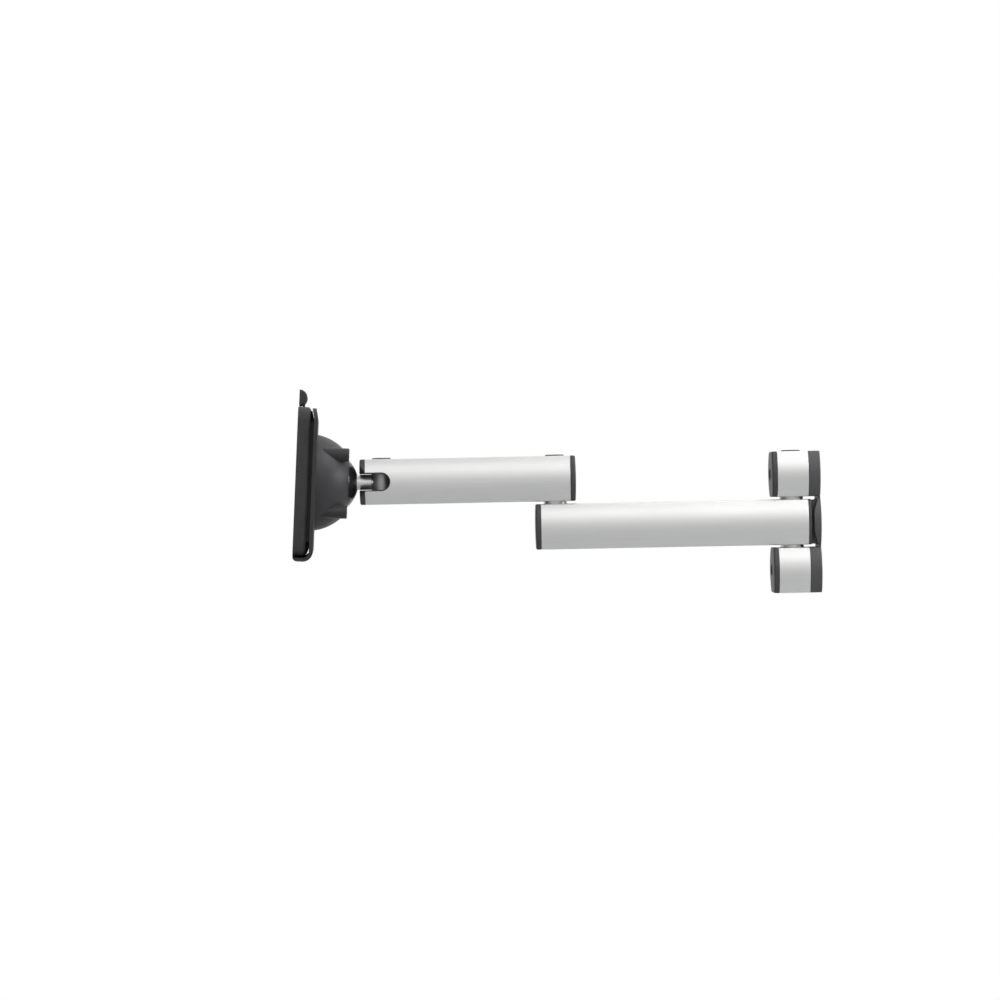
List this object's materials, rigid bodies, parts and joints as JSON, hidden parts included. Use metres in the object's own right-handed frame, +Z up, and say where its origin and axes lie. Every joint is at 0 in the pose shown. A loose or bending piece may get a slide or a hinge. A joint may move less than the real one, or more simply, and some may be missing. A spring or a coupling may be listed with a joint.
{
  "type": "monitor arm",
  "caption": "Two-section swivelling monitor arm of bulged extruded profile, stacked on upright pivots, with a slotted wrist, a ball-jointed domed head and a lift-off adapter plate.",
  "frame": {"origin": "centre of the two-hole pattern on the mounting face of the bracket pads", "axes": "+X out of the mounting face towards the post, +Z up along the pivots, the arm reaches along -X"},
  "size_m": [0.4104, 0.1173, 0.1637],
  "materials": {
    "satin_aluminium": "satin anodised extrusion",
    "cast_insert": "as-cast",
    "dark_cap": "fine-grained moulding",
    "dark_pad": "dark powder coat",
    "black_ball": "polished black",
    "housing_grey": "satin dark grey coat on a casting",
    "tray_grey": "satin dark grey coat on sheet",
    "adapter_grey": "fine-grained moulding",
    "steel": "turned",
    "barrel_steel": "turned, dull",
    "screw_black": "black oxide",
    "spring_steel": "drawn wire and disc",
    "bearing": "bronze",
    "seat_polymer": "low-friction moulding"
  },
  "bodies": {
    "bracket": {"mount_pad_upper": "dark_pad", "mount_pad_lower": "dark_pad", "bracket_block_upper": "satin_aluminium", "bracket_block_lower": "satin_aluminium", "block_core_upper": "cast_insert", "block_core_lower": "cast_insert", "block_screws": "screw_black", "front_cap_upper": "dark_cap", "front_cap_lower": "dark_cap", "friction_screws": "screw_black", "shoulder_pin": "steel", "shoulder_pin_cap": "dark_cap", "mount_spacer": "dark_pad"},
    "lower_arm": {"lower_arm_tube": "satin_aluminium", "shoulder_hub": "cast_insert", "shoulder_bushes": "bearing", "shoulder_washers": "steel", "nose_cap": "dark_cap", "lower_arm_cap": "dark_cap", "elbow_hub_lower": "cast_insert", "elbow_pin": "steel", "elbow_screw": "screw_black"},
    "upper_arm": {"upper_arm_tube": "satin_aluminium", "elbow_hub_upper": "cast_insert", "elbow_bushes": "bearing", "elbow_washer": "steel", "elbow_disc_springs": "spring_steel", "upper_arm_cap": "dark_cap", "wrist_cage_upper": "dark_cap", "wrist_cage_lower": "dark_cap", "wrist_pin": "steel", "wrist_nut": "steel", "upper_arm_pin_caps": "dark_cap"},
    "wrist": {"wrist_barrel": "barrel_steel", "ball_rod": "steel", "ball": "black_ball"},
    "seat_ring": {"ball_seat_ring": "seat_polymer"},
    "inner_seat": {"inner_seat": "seat_polymer"},
    "head": {"ball_housing": "housing_grey", "housing_screws": "screw_black", "seat_springs": "spring_steel", "receiver_tray": "tray_grey", "adapter_plate": "adapter_grey", "latch_spring": "spring_steel"},
    "latch": {"release_latch": "screw_black", "release_knob": "dark_cap"}
  },
  "joints": [
    {"name": "shoulder", "type": "hinge", "parent": "bracket", "child": "lower_arm", "pos_m": [-0.0212, 0, 0], "axis": [0, 0, 1], "range_deg": [-90, 90]},
    {"name": "elbow", "type": "hinge", "parent": "lower_arm", "child": "upper_arm", "pos_m": [-0.2035, 0, 0.037], "axis": [0, 0, 1], "range_deg": [-150, 150]},
    {"name": "wrist", "type": "hinge", "parent": "upper_arm", "child": "wrist", "pos_m": [-0.3372, 0, 0.037], "axis": [0, 0, -1], "range_deg": [-35, 35]},
    {"name": "ball_pan", "type": "hinge", "parent": "wrist", "child": "seat_ring", "pos_m": [-0.3799, 0, 0.037], "axis": [0, 0, 1], "range_deg": [-19, 11]},
    {"name": "ball_tilt", "type": "hinge", "parent": "seat_ring", "child": "inner_seat", "pos_m": [-0.3799, 0, 0.037], "axis": [-0.0698, 0.9976, 0], "range_deg": [-18.4, 11.6]},
    {"name": "ball_roll", "type": "hinge", "parent": "inner_seat", "child": "head", "pos_m": [-0.3799, 0, 0.037], "axis": [0.9958, 0.0696, -0.0593], "continuous": true},
    {"name": "latch_lift", "type": "slide", "parent": "head", "child": "latch", "axis": [0.0592, 0.0041, 0.9982], "range_m": [0, 0.006], "stiffness_N_per_m": 800, "springref_m": -0.004, "deforming": ["latch_spring"]}
  ]
}
